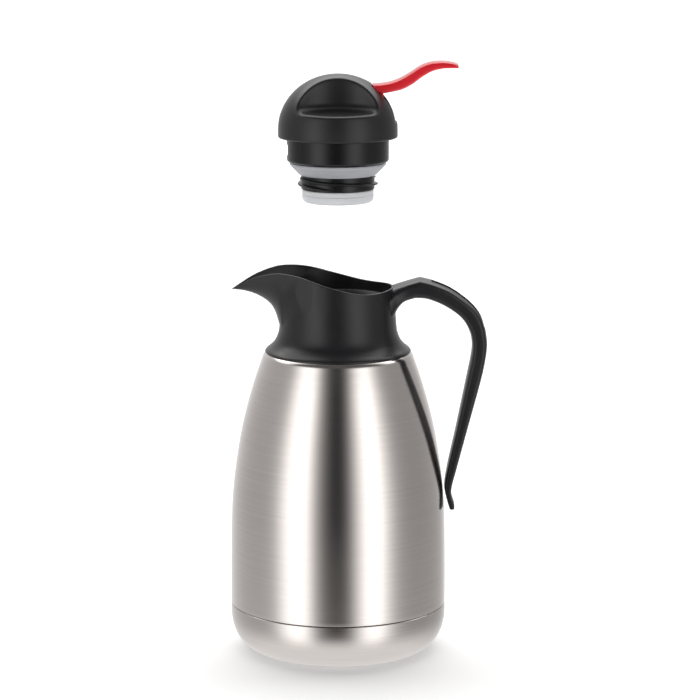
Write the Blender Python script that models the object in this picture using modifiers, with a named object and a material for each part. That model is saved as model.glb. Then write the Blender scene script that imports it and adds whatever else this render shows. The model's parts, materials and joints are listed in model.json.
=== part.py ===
"""A double-wall vacuum jug and its press-lever stopper, which is lifted clear above the mouth.

The jug stands on z = 0 with its axis on Z, its spout towards -X and its handle towards +X. Sizes are
in millimetres, and MM turns them into the scene's metres. Stopper pieces are measured from the
lower edge of the stopper's skirt.
"""

import math

import bmesh
import bpy

MM = 0.001
SIDES = 40
FINE_SIDES = 24
GAP = 0.4

# Steel body
SEAM_Z = 30.2
SHELL_WALL = 0.6
SHELL_OUTLINE = (
    (31.0, 224.4),
    (31.0, 211.0),
    (31.8, 206.6),
    (34.6, 203.4),
    (39.0, 200.2),
    (44.0, 197.2),
    (47.6, 194.4),
    (49.5, 190.0),
    (54.0, 176.8),
    (58.6, 161.0),
    (62.4, 145.0),
    (65.2, 129.0),
    (67.4, 113.0),
    (68.8, 97.0),
    (69.5, 78.0),
    (69.8, SEAM_Z + 0.2),
)
LINER_WALL = 0.6
LINER_OUTLINE = (
    (29.8, 224.4),
    (29.8, 210.0),
    (30.6, 204.0),
    (33.6, 198.8),
    (40.0, 192.0),
    (46.6, 177.0),
    (51.2, 161.0),
    (55.0, 145.0),
    (58.0, 129.0),
    (60.2, 113.0),
    (61.8, 97.0),
    (62.6, 78.0),
    (62.8, 24.0),
    (60.6, 16.0),
    (54.0, 11.2),
    (44.0, 10.0),
    (0.0, 10.0),
)
CUP_RADIUS = 69.8
CUP_CORNER_WIDE = 18.0
CUP_CORNER_HIGH = 24.0
CUP_WALL = 0.8
FOOT_INNER = 46.0
RECESS_Z = 2.1
COVER_RADIUS = 19.5
COVER_TOP = 1.7
GETTER = (9.0, 7.0, 9.6)

# Collar and spout
LIP_FLARE = (
    (37.7, 213.0),
    (38.1, 209.5),
    (39.1, 206.0),
    (40.9, 202.4),
    (43.6, 199.4),
    (46.2, 197.3),
    (47.1, 195.4),
    (46.2, 195.9),
    (44.2, 197.9),
    (39.2, 201.0),
    (35.3, 204.2),
    (34.5, 209.0),
    (34.5, 220.0),
)
WAIST = (37.7, 213.0)
RIM_RADIUS = 35.7
BORE = 34.6
FLOOR_Z = 231.6
TIP = 68.2
SPOUT_SLOPE = math.tan(math.asin(RIM_RADIUS / TIP))
SPOUT_SPREAD = math.radians(75.0)
SPOUT_FULL = math.radians(50.0)
SPOUT_WALL = 1.3
LIP_WALL = 0.5
RIM_HEIGHTS = (
    (-TIP, 236.4),
    (-62.6, 239.8),
    (-55.0, 244.0),
    (-46.3, 247.2),
    (-36.6, 248.9),
    (-22.5, 247.4),
    (-4.5, 242.1),
    (13.4, 237.8),
    (24.0, 237.0),
    (36.0, 238.0),
)
SPOUT_KEEL = (
    (36.0, 206.0),
    (38.6, 217.0),
    (40.2, 221.8),
    (43.7, 227.0),
    (49.6, 231.4),
    (56.3, 234.2),
    (62.4, 235.6),
    (TIP, 236.2),
)
SEAT_TOP_Z = 231.2
NECK_RING = (
    (33.9, SEAT_TOP_Z),
    (33.9, 226.6),
    (28.6, 226.6),
    (28.6, 206.0),
    (27.4, 206.0),
    (27.4, 228.9),
    (29.4, SEAT_TOP_Z),
)
COLLAR_GASKET = ((33.6, 226.2), (33.6, 224.8), (29.0, 224.8), (29.0, 226.2))

# Handle: outer edge, inner edge and half width at each station, in the XZ plane
HANDLE_STATIONS = (
    (33.0, 237.6, 35.2, 213.5, 10.6),
    (38.5, 239.3, 37.3, 223.5, 10.8),
    (45.0, 241.2, 42.0, 228.3, 11.0),
    (53.0, 243.4, 49.5, 230.8, 11.0),
    (61.0, 241.3, 57.0, 230.3, 10.9),
    (71.8, 236.9, 66.0, 227.0, 10.7),
    (81.0, 230.8, 74.6, 221.9, 10.5),
    (88.5, 224.0, 80.6, 216.4, 10.4),
    (93.4, 216.0, 84.6, 209.3, 10.3),
    (96.1, 203.0, 86.3, 201.5, 10.2),
    (95.3, 191.0, 85.8, 193.0, 10.1),
    (91.9, 174.8, 82.6, 176.6, 10.0),
    (83.8, 144.2, 76.4, 145.6, 9.6),
    (77.5, 120.0, 71.0, 120.4, 9.2),
    (74.0, 106.5, 69.1, 107.4, 9.0),
    (73.9, 100.8, 69.9, 101.0, 9.0),
    (75.6, 95.2, 71.6, 94.6, 9.2),
    (75.7, 92.5, 72.4, 92.2, 9.2),
)
HANDLE_CORNER = 4.0
HANDLE_AROUND = 16
COVER_STRIP = (
    (60.6, 241.5),
    (71.8, 236.9),
    (81.0, 230.8),
    (88.5, 224.0),
    (93.4, 216.0),
    (95.0, 211.0),
)
COVER_WIDTH = 12.6
COVER_SINK = 1.1
COVER_DEPTH = 1.4

# Stopper, measured from its skirt's lower edge
STOPPER_Z = 334.0
DOME_RADIUS = 38.2
DOME_RISE = 35.4
DOME_WALL = 2.1
BAND_TOP = 5.2
SCOOP_RADIUS = 39.1
RIDGE_HALF = 12.6
SHELF_Z = 18.0
SLOT_HALF = 9.4
SLOT_FRONT = 21.4
SLOT_FLOOR = 10.0
BODY_RADIUS = 32.6
BODY_BOTTOM = -15.5
BODY_TOP = 2.7
BODY_WALL = 2.2
CHAMBER_HOLE = 20.0
WINDOW_HALF = 7.0
WINDOW_Z = (-12.0, -4.0)
DECK = (33.2, 3.0, 5.0)
GUIDE = (2.8, 5.5, -6.0, 9.0)
STEM_GASKET = (2.75, 5.0, 9.3, 11.3)
BOSS_CIRCLE = 27.0
BOSS_ANGLES = (60.0, 120.0, 240.0, 300.0)
BOSS_RADIUS = 3.2
SCREW_HOLE = 1.75
SCREW = (1.4, 2.6, 1.1, 2.7, 12.5)
PLUG_OUTLINE = (
    (23.5, -15.8),
    (23.5, -32.7),
    (19.5, -32.7),
    (19.5, -39.5),
    (16.6, -39.5),
    (16.6, -30.5),
    (20.2, -28.0),
    (20.2, -15.8),
)
THREAD_RADIUS = 25.7
THREAD_TOP = -25.5
THREAD_LEAD = 8.0
THREAD_TURN = 0.72
THREAD_STARTS = 2
CONE_GASKET = (
    (30.9, -15.8),
    (30.7, -17.2),
    (25.0, -23.2),
    (24.3, -23.7),
    (23.85, -23.7),
    (23.85, -15.8),
)
BOTTOM_SEAL = (
    (23.2, -33.0),
    (23.2, -36.0),
    (22.6, -39.6),
    (21.2, -41.2),
    (12.0, -41.2),
    (12.0, -39.85),
    (19.85, -39.85),
    (19.85, -33.0),
)
DISC = (14.0, -37.0, -39.6)
STEM = (2.4, 18.1, -36.7)
STEM_FLANGE = (8.0, -35.2)
HEAD = (6.5, 18.4, 21.7)
HEAD_PEG = (2.2, 26.0)
SPRING_SEAT = ((6.6, 37.2), (6.6, 34.2), (5.7, 34.2), (5.7, 35.6), (0.0, 35.6))
SPRING_Z = (21.9, 35.4)
SPRING_RADIUS = 4.5
SPRING_WIRE = 0.5
SPRING_TURNS = 6
SPRING_POINTS = 10

# Lever
PIVOT = (25.5, 25.5)
PIN_RADIUS = 1.5
PIN_HALF = 11.4
PIN_HOLE = 1.85
EAR = (19.5, 33.0, 9.7, 12.3, 19.5, 33.0)
LEVER_HALF = 8.6
ARM_HALF = 6.0
LEVER_TOP = (
    (22.2, 34.2),
    (27.5, 34.5),
    (33.8, 35.6),
    (40.0, 38.0),
    (46.2, 41.6),
    (52.4, 45.6),
    (58.6, 47.9),
    (64.8, 48.6),
    (70.4, 48.3),
    (74.2, 47.5),
    (76.4, 46.6),
)
LEVER_UNDER = (
    (76.9, 44.2),
    (71.5, 44.4),
    (66.5, 44.1),
    (60.0, 42.5),
    (53.6, 38.9),
    (47.2, 34.2),
    (40.6, 30.9),
    (33.8, 29.3),
    (28.0, 28.4),
    (24.2, 29.2),
    (22.5, 31.2),
)
ARM_OUTER = ((28.8, 31.5), (29.2, 24.6), (27.4, 18.6), (23.0, 14.4), (17.0, 12.8), (-6.5, 12.6))
ARM_INNER = ((13.0, 15.6), (18.4, 16.8), (21.4, 19.8), (22.0, 24.0), (22.6, 31.0))
FORK_ARC = (9.0, 9.0, 6.5)
FORK_SLOT = (3.1, -9.0, 5.4)

COLOURS = {
    "brushed_steel": ((0.62, 0.60, 0.58), 0.32, 1.0),
    "steel_liner": ((0.66, 0.66, 0.66), 0.22, 1.0),
    "black_plastic": ((0.016, 0.016, 0.018), 0.38, 0.0),
    "matte_black": ((0.022, 0.022, 0.024), 0.55, 0.0),
    "gloss_black": ((0.010, 0.010, 0.011), 0.14, 0.0),
    "red_plastic": ((0.66, 0.025, 0.035), 0.22, 0.0),
    "grey_silicone": ((0.30, 0.31, 0.32), 0.45, 0.0),
    "white_silicone": ((0.72, 0.73, 0.73), 0.40, 0.0),
    "spring_steel": ((0.55, 0.55, 0.56), 0.28, 1.0),
    "getter_alloy": ((0.30, 0.29, 0.27), 0.60, 1.0),
}


def collection(name):
    made = bpy.data.collections.new(name)
    bpy.context.scene.collection.children.link(made)
    return made


def clear_scene():
    for old in list(bpy.data.objects):
        bpy.data.objects.remove(old, do_unlink=True)


def material(name):
    if name in bpy.data.materials:
        return bpy.data.materials[name]
    colour, roughness, metallic = COLOURS[name]
    made = bpy.data.materials.new(name)
    made.use_nodes = True
    shader = made.node_tree.nodes["Principled BSDF"]
    shader.inputs["Base Color"].default_value = (*colour, 1.0)
    shader.inputs["Roughness"].default_value = roughness
    shader.inputs["Metallic"].default_value = metallic
    made.diffuse_color = (*colour, 1.0)
    return made


def place(name, mesh, finish, parent=None):
    """Put a mesh in the scene: as a part if it has a finish, and otherwise as a hidden cutter."""
    made = bpy.data.objects.new(name, mesh)
    if finish:
        PARTS.objects.link(made)
        mesh.materials.append(material(finish))
    else:
        CUTTERS.objects.link(made)
        made.hide_render = True
        made.display_type = "WIRE"
    made.parent = parent
    return made


def empty(name, location, parent=None):
    made = bpy.data.objects.new(name, None)
    made.location = [value * MM for value in location]
    made.parent = parent
    PARTS.objects.link(made)
    return made


def shade(made, angle=35.0):
    made.data.shade_smooth()
    made.data.set_sharp_from_angle(angle=math.radians(angle))


def turned(name, outline, finish=None, parent=None, closed=True, sides=SIDES):
    """Turn a (radius, height) outline about Z. It runs down its outer side."""
    mesh = bpy.data.meshes.new(name)
    points = [(radius * MM, 0.0, height * MM) for radius, height in outline]
    edges = [(i, i + 1) for i in range(len(points) - 1)]
    if closed:
        edges.append((len(points) - 1, 0))
    mesh.from_pydata(points, edges, [])
    made = place(name, mesh, finish, parent)
    screw = made.modifiers.new("turn", "SCREW")
    screw.steps = sides
    screw.render_steps = sides
    screw.use_merge_vertices = True
    screw.merge_threshold = 0.00001
    screw.use_smooth_shade = True
    return made


def solid_of_turn(name, outline, finish=None, parent=None, sides=SIDES):
    """Turn an outline whose two ends lie on the axis."""
    return turned(name, outline, finish, parent, closed=False, sides=sides)


def disc(name, radius, low, high, finish=None, parent=None, sides=SIDES, edge=0.0):
    outline = [(0.0, high), (radius - edge, high)]
    if edge:
        outline.append((radius, high - edge))
    outline += [(radius, low), (0.0, low)]
    return solid_of_turn(name, outline, finish, parent, sides)


def ring(name, inner, outer, low, high, finish=None, parent=None, sides=SIDES):
    outline = ((outer, high), (outer, low), (inner, low), (inner, high))
    return turned(name, outline, finish, parent, sides=sides)


def box(name, low, high, finish=None, parent=None):
    mesh = bpy.data.meshes.new(name)
    build = bmesh.new()
    bmesh.ops.create_cube(build, size=1.0)
    for vertex in build.verts:
        for axis in range(3):
            side = low[axis] if vertex.co[axis] < 0.0 else high[axis]
            vertex.co[axis] = side * MM
    build.to_mesh(mesh)
    build.free()
    return place(name, mesh, finish, parent)


def cylinder_mesh(name, radius, low, high, axis, centre, sides=FINE_SIDES):
    """A round bar along Y or Z, from low to high, centred on the other two coordinates."""
    mesh = bpy.data.meshes.new(name)
    build = bmesh.new()
    bmesh.ops.create_cone(
        build,
        cap_ends=True,
        segments=sides,
        radius1=radius * MM,
        radius2=radius * MM,
        depth=(high - low) * MM,
    )
    middle = (low + high) / 2.0
    for vertex in build.verts:
        x, y, z = vertex.co
        if axis == "Y":
            vertex.co = (x + centre[0] * MM, z + middle * MM, -y + centre[1] * MM)
        else:
            vertex.co = (x + centre[0] * MM, y + centre[1] * MM, z + middle * MM)
    bmesh.ops.recalc_face_normals(build, faces=build.faces)
    build.to_mesh(mesh)
    build.free()
    return mesh


def boolean(target, other, operation, solver="EXACT"):
    change = target.modifiers.new(f"{operation.lower()} {other.name}", "BOOLEAN")
    change.operation = operation
    change.solver = solver
    change.object = other


def cut(target, other, solver="EXACT"):
    boolean(target, other, "DIFFERENCE", solver)


def join(target, other):
    boolean(target, other, "UNION")


def through(points, steps):
    """Points along a smooth curve through the given ones, with some steps between each two."""
    ends = [points[0], *points, points[-1]]
    curve = []
    for k in range(1, len(ends) - 2):
        before, start, end, after = ends[k - 1 : k + 3]
        for step in range(steps):
            t = step / steps
            curve.append(
                tuple(
                    start[i]
                    + 0.5 * t * (end[i] - before[i])
                    + t * t * (before[i] - 2.5 * start[i] + 2.0 * end[i] - 0.5 * after[i])
                    + t**3 * (1.5 * (start[i] - end[i]) + 0.5 * (after[i] - before[i]))
                    for i in (0, 1)
                )
            )
    return [*curve, points[-1]]


def height_on(points, x):
    """The smooth curve's second coordinate where its first is x."""
    if x <= points[0][0]:
        return points[0][1]
    for k in range(len(points) - 1):
        (x0, z0), (x1, z1) = points[k], points[k + 1]
        if x <= x1:
            left = points[max(k - 1, 0)]
            right = points[min(k + 2, len(points) - 1)]
            span = x1 - x0
            slope0 = (z1 - left[1]) / (x1 - left[0]) * span
            slope1 = (right[1] - z0) / (right[0] - x0) * span
            t = (x - x0) / span
            return (
                z0 * (1.0 + 2.0 * t) * (1.0 - t) ** 2
                + slope0 * t * (1.0 - t) ** 2
                + z1 * t * t * (3.0 - 2.0 * t)
                + slope1 * t * t * (t - 1.0)
            )
    return points[-1][1]


def offset(points, distance):
    """The outline moved inwards, to the right of its direction of travel."""
    moved = []
    for k, (x, z) in enumerate(points):
        before = points[max(k - 1, 0)]
        after = points[min(k + 1, len(points) - 1)]
        along_x, along_z = after[0] - before[0], after[1] - before[1]
        length = math.hypot(along_x, along_z)
        moved.append((x + along_z / length * distance, z - along_x / length * distance))
    return moved


def beyond(start, end, distance):
    """The point past end on the line from start."""
    length = math.hypot(end[0] - start[0], end[1] - start[1])
    return tuple(b + (b - a) / length * distance for a, b in zip(start, end))


def plate(name, outline, half_width, finish=None, parent=None, shift=(0.0, 0.0), edge=0.0):
    """A flat outline in the XZ plane, as thick as two half widths along Y."""
    flat = bpy.data.curves.new(name, "CURVE")
    flat.dimensions = "2D"
    flat.fill_mode = "BOTH"
    flat.extrude = half_width * MM
    spline = flat.splines.new("POLY")
    spline.points.add(len(outline) - 1)
    for point, (x, z) in zip(spline.points, outline):
        point.co = ((x - shift[0]) * MM, (z - shift[1]) * MM, 0.0, 1.0)
    spline.use_cyclic_u = True
    guide = bpy.data.objects.new(f"{name}_outline", flat)
    CUTTERS.objects.link(guide)
    guide.rotation_euler = (math.radians(90.0), 0.0, 0.0)
    bpy.context.view_layer.update()
    seen = guide.evaluated_get(bpy.context.evaluated_depsgraph_get())
    mesh = bpy.data.meshes.new_from_object(seen)
    mesh.transform(guide.matrix_world)
    bpy.data.objects.remove(guide)
    build = bmesh.new()
    build.from_mesh(mesh)
    bmesh.ops.remove_doubles(build, verts=build.verts, dist=0.000005)
    if edge:
        bmesh.ops.dissolve_limit(
            build, angle_limit=math.radians(1.0), verts=build.verts, edges=build.edges
        )
    bmesh.ops.recalc_face_normals(build, faces=build.faces)
    build.to_mesh(mesh)
    build.free()
    made = place(name, mesh, finish, parent)
    if edge:
        bevel = made.modifiers.new("rounded edges", "BEVEL")
        bevel.width = edge * MM
        bevel.segments = 2
        bevel.limit_method = "ANGLE"
        bevel.angle_limit = math.radians(60.0)
    return made


def spout_half_width(reach):
    return (TIP - reach) * SPOUT_SLOPE


def wall_at(reach):
    """The spout's wall, which thins towards the tip."""
    near_tip = min(max((reach - 50.0) / (TIP - 50.0), 0.0), 1.0)
    return SPOUT_WALL + (LIP_WALL - SPOUT_WALL) * near_tip


def in_spout(reach, side, height, hollow):
    """Whether a point lies in the spout's outer form, or in its channel."""
    half = spout_half_width(reach)
    top = height_on(RIM_HEIGHTS, -reach)
    bottom = height_on(SPOUT_KEEL, reach)
    if hollow:
        half -= wall_at(reach) * 1.17
        bottom = max(bottom + wall_at(reach) * 1.2, FLOOR_Z + 0.12 * (reach - BORE))
    if half <= 0.0 or top <= bottom:
        return False
    down = max(top - height, 0.0) / (top - bottom)
    return (side / half) ** 2 + down**2 <= 1.0


def spout_radius(angle, height, hollow):
    """How far the spout reaches from the axis in one direction, at one height."""
    if abs(angle) > SPOUT_SPREAD:
        return 0.0
    radius = TIP
    step = 1.0
    while radius > BORE - 4.0:
        if in_spout(radius * math.cos(angle), radius * abs(math.sin(angle)), height, hollow):
            low, high = radius, radius + step
            for _ in range(12):
                middle = (low + high) / 2.0
                side = middle * abs(math.sin(angle))
                if in_spout(middle * math.cos(angle), side, height, hollow):
                    low = middle
                else:
                    high = middle
            return low
        radius -= step
    return 0.0


def rim_radius(angle, hollow):
    """The rim's plan: a circle, and two straight lines from it to the tip."""
    circle = BORE if hollow else RIM_RADIUS
    if abs(angle) > SPOUT_SPREAD:
        return circle
    low, high = circle, TIP + 1.0
    for _ in range(24):
        middle = (low + high) / 2.0
        reach = middle * math.cos(angle)
        half = spout_half_width(reach) - (wall_at(reach) * 1.17 if hollow else 0.0)
        if middle * abs(math.sin(angle)) <= half:
            low = middle
        else:
            high = middle
    return low


def spout_share(angle):
    """How much of the spout shows in one direction: all of it near the tip, and none beside."""
    share = (SPOUT_SPREAD - abs(angle)) / (SPOUT_SPREAD - SPOUT_FULL)
    return min(max(share, 0.0), 1.0)


def smooth_max(a, b, blend):
    near = max(blend - abs(a - b), 0.0) / blend
    return max(a, b) + near * near * blend / 4.0


def collar_section(angle, rows_out, rows_in):
    """One section of the collar, from the waist over the rim to the floor and down inside."""
    section = []
    rim = rim_radius(angle, False)
    rim_z = height_on(RIM_HEIGHTS, -rim * math.cos(angle))
    for row in range(1, rows_out + 1):
        share = row / rows_out
        height = WAIST[1] + (rim_z - WAIST[1]) * share
        body = WAIST[0] + (RIM_RADIUS - WAIST[0]) * share
        radius = rim
        if row < rows_out:
            blend = 0.1 + 4.0 * math.sin(math.pi * share)
            radius = smooth_max(body, spout_radius(angle, height, False), blend)
            radius = body + (radius - body) * spout_share(angle)
        section.append((min(radius, rim + 2.0 * (1.0 - share)), height))
    inner = rim_radius(angle, True)
    inner_z = height_on(RIM_HEIGHTS, -inner * math.cos(angle))
    for row in range(rows_in + 1):
        height = inner_z + (FLOOR_Z - inner_z) * row / rows_in
        radius = inner if row == 0 else max(BORE, spout_radius(angle, height, True))
        if row == rows_in:
            radius = BORE
        section.append((radius, height))
    return section


def collar(name, finish, directions=SIDES, rows_out=9, rows_in=7):
    """A loft of sections about the axis, closer together towards the spout's tip."""
    mesh = bpy.data.meshes.new(name)
    build = bmesh.new()
    loops = []
    for k in range(directions):
        share = 2.0 * k / directions - 1.0
        angle = math.pi * math.copysign(abs(share) ** 1.35, share)
        section = collar_section(angle, rows_out, rows_in)
        whole = [*section, *reversed(LIP_FLARE)]
        loops.append(
            [
                build.verts.new(
                    (
                        -radius * math.cos(angle) * MM,
                        -radius * math.sin(angle) * MM,
                        height * MM,
                    )
                )
                for radius, height in whole
            ]
        )
    for here, there in zip(loops, loops[1:] + loops[:1]):
        for row in range(len(here)):
            after = (row + 1) % len(here)
            build.faces.new((here[row], there[row], there[after], here[after]))
    bmesh.ops.recalc_face_normals(build, faces=build.faces)
    build.to_mesh(mesh)
    build.free()
    made = place(name, mesh, finish)
    shade(made)
    return made


def steel_body():
    inside = offset(SHELL_OUTLINE, SHELL_WALL)
    turned("outer_shell", [*SHELL_OUTLINE, *reversed(inside)], "brushed_steel")
    wall = offset(LINER_OUTLINE, LINER_WALL)
    wall[-1] = (0.0, wall[-1][1])
    outline = [*reversed(wall), *LINER_OUTLINE]
    solid_of_turn("inner_liner", outline, "steel_liner")
    corner = [
        (
            CUP_RADIUS - CUP_CORNER_WIDE * (1.0 - math.cos(turn)),
            CUP_CORNER_HIGH * (1.0 - math.sin(turn)),
        )
        for turn in (math.radians(11.25 * step) for step in range(9))
    ]
    inner_corner = [(radius - CUP_WALL, height + CUP_WALL) for radius, height in corner]
    cup = [
        (0.0, RECESS_Z + CUP_WALL),
        *((radius, max(height, RECESS_Z + CUP_WALL)) for radius, height in inner_corner[-2::-1]),
        (CUP_RADIUS - CUP_WALL, SEAM_Z - 0.2),
        (CUP_RADIUS, SEAM_Z - 0.2),
        *corner,
        (FOOT_INNER, 0.0),
        (FOOT_INNER - 1.5, RECESS_Z),
        (0.0, RECESS_Z),
    ]
    solid_of_turn("base_cup", cup, "brushed_steel")
    disc("port_cover", COVER_RADIUS, 0.0, COVER_TOP, "black_plastic", edge=0.4)
    disc("getter", *GETTER, "getter_alloy", sides=FINE_SIDES)


def mouth():
    collar("collar", "black_plastic")
    turned("neck_ring", NECK_RING, "black_plastic")
    turned("collar_gasket", COLLAR_GASKET, "grey_silicone")


def handle():
    """A loft of soft rectangles along the handle, trimmed to the collar and grooved for its cover."""
    outer = through([station[0:2] for station in HANDLE_STATIONS], 2)
    inner = through([station[2:4] for station in HANDLE_STATIONS], 2)
    width = through([(k, station[4]) for k, station in enumerate(HANDLE_STATIONS)], 2)
    mesh = bpy.data.meshes.new("handle")
    build = bmesh.new()
    loops = []
    for (x0, z0), (x1, z1), (_, half) in zip(outer, inner, width):
        loop = []
        for k in range(HANDLE_AROUND):
            turn = 2.0 * math.pi * (k + 0.5) / HANDLE_AROUND
            across = math.copysign(abs(math.cos(turn)) ** (2.0 / HANDLE_CORNER), math.cos(turn))
            along = math.copysign(abs(math.sin(turn)) ** (2.0 / HANDLE_CORNER), math.sin(turn))
            share = (1.0 - across) / 2.0
            x = x0 + (x1 - x0) * share
            z = z0 + (z1 - z0) * share
            loop.append(build.verts.new((x * MM, half * along * MM, z * MM)))
        loops.append(loop)
    for here, there in zip(loops, loops[1:]):
        for k in range(HANDLE_AROUND):
            after = (k + 1) % HANDLE_AROUND
            build.faces.new((here[k], here[after], there[after], there[k]))
    build.faces.new(loops[0])
    build.faces.new(loops[-1])
    bmesh.ops.recalc_face_normals(build, faces=build.faces)
    build.to_mesh(mesh)
    build.free()
    grip = place("handle", mesh, "black_plastic")
    shade(grip)
    outside = (
        (0.0, 260.0),
        (RIM_RADIUS + GAP, 260.0),
        (RIM_RADIUS + GAP, 238.0),
        (WAIST[0] + GAP, WAIST[1]),
        (WAIST[0] + GAP, 205.0),
        (0.0, 205.0),
    )
    cut(grip, solid_of_turn("collar_clearance", outside))
    path = through(COVER_STRIP, 2)
    floor = COVER_SINK + COVER_DEPTH
    strip = [*offset(path, COVER_SINK), *reversed(offset(path, floor))]
    longer = [beyond(path[1], path[0], 0.6), *path[1:-1], beyond(path[-2], path[-1], 0.6)]
    groove = [*offset(longer, -2.0), *reversed(offset(longer, floor + GAP))]
    cut(grip, plate("cover_groove", groove, COVER_WIDTH / 2.0 + 0.3), "MANIFOLD")
    plate("handle_cover", strip, COVER_WIDTH / 2.0, "matte_black")


def dome_form(name, wall, finish=None, parent=None):
    """The domed knob, or its inside at one wall's depth, with a scoop on each side."""
    radius = DOME_RADIUS - wall
    rise = DOME_RISE - wall
    outline = [(0.0, BAND_TOP + rise)]
    for step in range(1, 10):
        turn = math.radians(10.0 * step)
        outline.append((radius * math.sin(turn), BAND_TOP + rise * math.cos(turn)))
    if wall:
        outline += [(radius, -3.0), (0.0, -3.0)]
    else:
        outline += [(radius, 1.6), (radius - 0.5, 0.5), (radius - 1.6, 0.0), (0.0, 0.0)]
    made = solid_of_turn(name, outline, finish, parent)
    for side in (-1, 1):
        scoop = cylinder_mesh(
            f"{name}_scoop",
            SCOOP_RADIUS + wall,
            SHELF_Z - wall,
            60.0,
            "Z",
            (0.0, side * (RIDGE_HALF + SCOOP_RADIUS)),
            sides=64,
        )
        cut(made, place(f"{name}_scoop_{side}", scoop, None, parent))
    return made


def boss_places():
    for turn in BOSS_ANGLES:
        angle = math.radians(turn)
        yield BOSS_CIRCLE * math.cos(angle), BOSS_CIRCLE * math.sin(angle)


def dome(stopper):
    cap = dome_form("dome_cap", 0.0, "matte_black", stopper)
    inside = dome_form("dome_inside", DOME_WALL, None, stopper)
    for k, (x, y) in enumerate(boss_places()):
        boss = cylinder_mesh(
            f"boss_{k}", BOSS_RADIUS, DECK[2] + 0.3, 20.0, "Z", (x, y), FINE_SIDES // 2
        )
        cut(inside, place(f"boss_{k}", boss, None, stopper))
    left, right, near, far, low, high = EAR
    for k, (y0, y1) in enumerate(((near, far), (-far, -near))):
        cut(inside, box(f"ear_{k}", (left, y0, low), (right, y1, high), None, stopper))
    cut(cap, inside, "MANIFOLD")
    hole = cylinder_mesh("pin_hole", PIN_HOLE, -PIN_HALF - 0.3, PIN_HALF + 0.3, "Y", PIVOT, 16)
    cut(cap, place("pin_hole", hole, None, stopper), "MANIFOLD")
    for k, (x, y) in enumerate(boss_places()):
        hole = cylinder_mesh(f"screw_hole_{k}", SCREW_HOLE, 3.0, 13.5, "Z", (x, y), 12)
        cut(cap, place(f"screw_hole_{k}", hole, None, stopper), "MANIFOLD")
    slot_low = (SLOT_FRONT, -SLOT_HALF, SLOT_FLOOR)
    slot = box("lever_slot", slot_low, (50.0, SLOT_HALF, 50.0), None, stopper)
    cut(cap, slot, "MANIFOLD")


def lever(stopper):
    pivot = empty("lever_axis", (PIVOT[0], 0.0, PIVOT[1]), stopper)
    blade = [*through(LEVER_TOP, 2), *through(LEVER_UNDER, 2)]
    made = plate("lever", blade, LEVER_HALF, "red_plastic", pivot, PIVOT, edge=0.9)
    centre_z, radius, half = FORK_ARC
    arc = []
    for step in range(7):
        x = 2.0 * half * step / 6 - half
        arc.append((x, centre_z + math.sqrt(radius**2 - x**2)))
    outline = [*ARM_OUTER, *arc, *ARM_INNER]
    join(made, plate("lever_arm", outline, ARM_HALF, None, pivot, PIVOT))
    side, left, right = FORK_SLOT
    low = (left - PIVOT[0], -side, 5.0 - PIVOT[1])
    high = (right - PIVOT[0], side, 20.0 - PIVOT[1])
    cut(made, box("fork_slot", low, high, None, pivot))
    hole = cylinder_mesh("lever_bore", PIN_HOLE, -12.0, 12.0, "Y", (0.0, 0.0), 16)
    cut(made, place("lever_bore", hole, None, pivot))
    pin = cylinder_mesh("lever_pin", PIN_RADIUS, -PIN_HALF, PIN_HALF, "Y", PIVOT, 16)
    shade(place("lever_pin", pin, "spring_steel", stopper))


def stopper_housing(stopper):
    inner = BODY_RADIUS - BODY_WALL
    floor = BODY_BOTTOM + BODY_WALL
    outline = (
        (BODY_RADIUS, BODY_TOP),
        (BODY_RADIUS, BODY_BOTTOM + 0.8),
        (BODY_RADIUS - 0.8, BODY_BOTTOM),
        (CHAMBER_HOLE, BODY_BOTTOM),
        (CHAMBER_HOLE, floor),
        (inner, floor),
        (inner, BODY_TOP),
    )
    body = turned("stopper_body", outline, "gloss_black", stopper)
    low = (-BODY_RADIUS - 3.0, -WINDOW_HALF, WINDOW_Z[0])
    cut(body, box("pour_window", low, (-20.0, WINDOW_HALF, WINDOW_Z[1]), None, stopper))
    radius, low_z, high_z = DECK
    bore, tube, foot, top = GUIDE
    deck_outline = (
        (bore, top),
        (tube, top),
        (tube, high_z),
        (radius, high_z),
        (radius, low_z),
        (tube, low_z),
        (tube, foot),
        (bore, foot),
    )
    deck = turned("inner_deck", deck_outline, "black_plastic", stopper)
    ring("stem_gasket", *STEM_GASKET, "grey_silicone", stopper, sides=FINE_SIDES)
    shaft, head, head_low, head_top, tip = SCREW
    for k, (x, y) in enumerate(boss_places()):
        hole = cylinder_mesh(f"deck_hole_{k}", SCREW_HOLE, 0.0, 8.0, "Z", (x, y), 12)
        cut(deck, place(f"deck_hole_{k}", hole, None, stopper))
    for k, (x, y) in enumerate(boss_places()):
        mesh = cylinder_mesh(f"deck_screw_{k}", head, head_low, head_top, "Z", (x, y), 12)
        screw = place(f"deck_screw_{k + 1}", mesh, "spring_steel", stopper)
        rod = cylinder_mesh(f"screw_shaft_{k}", shaft, head_top - 0.5, tip, "Z", (x, y), 12)
        join(screw, place(f"screw_shaft_{k}", rod, None, stopper))


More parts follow.
